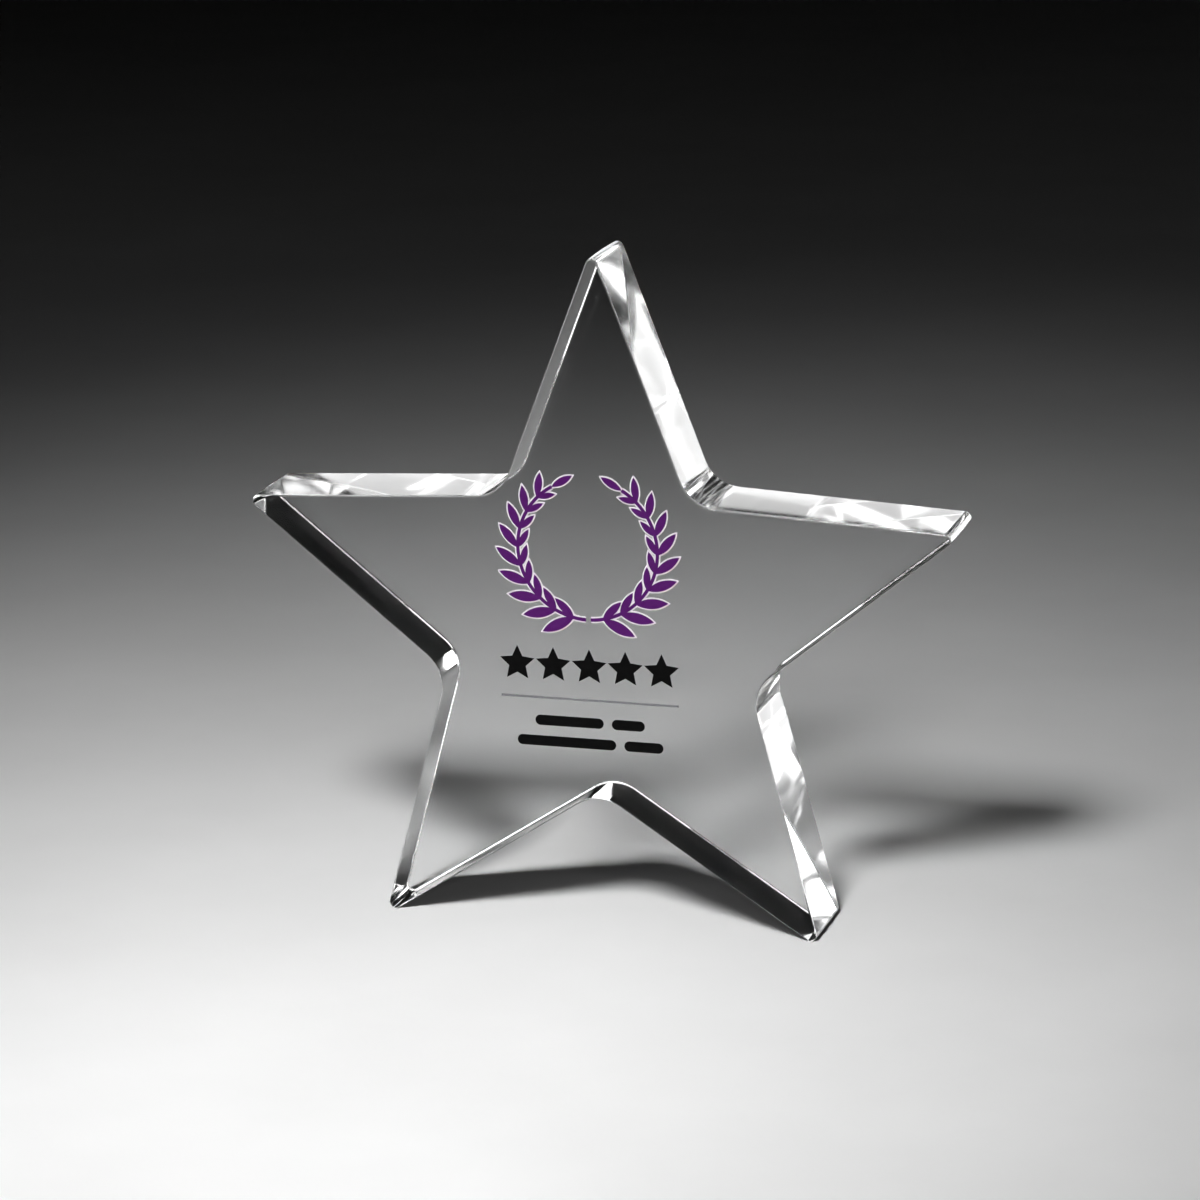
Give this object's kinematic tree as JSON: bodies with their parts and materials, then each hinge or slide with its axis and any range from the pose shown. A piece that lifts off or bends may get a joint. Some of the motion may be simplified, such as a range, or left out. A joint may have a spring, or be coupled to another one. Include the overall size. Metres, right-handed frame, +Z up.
{
  "type": "star trophy",
  "caption": "Free-standing star award cut from a thick slab of clear acrylic, with a printed wreath, a row of stars, a rule and inscription lines.",
  "frame": {"origin": "on the surface the award stands on, midway between its two lower points and midway through the slab's thickness", "axes": "+X across the star to the right as the print is read, +Y through the slab from the printed front face to the back, +Z up to the top point"},
  "size_m": [0.15, 0.0202, 0.1427],
  "materials": {
    "clear_acrylic": "polished",
    "white_ink": "satin",
    "purple_ink": "satin",
    "black_ink": "satin",
    "grey_ink": "satin"
  },
  "bodies": {
    "root": {"star_block": "clear_acrylic", "emblem_underbase": "white_ink", "wreath_left": "purple_ink", "wreath_right": "purple_ink", "title_stars": "black_ink", "divider_rule": "grey_ink", "inscription_line_1": "black_ink", "inscription_line_2": "black_ink"}
  },
  "joints": []
}
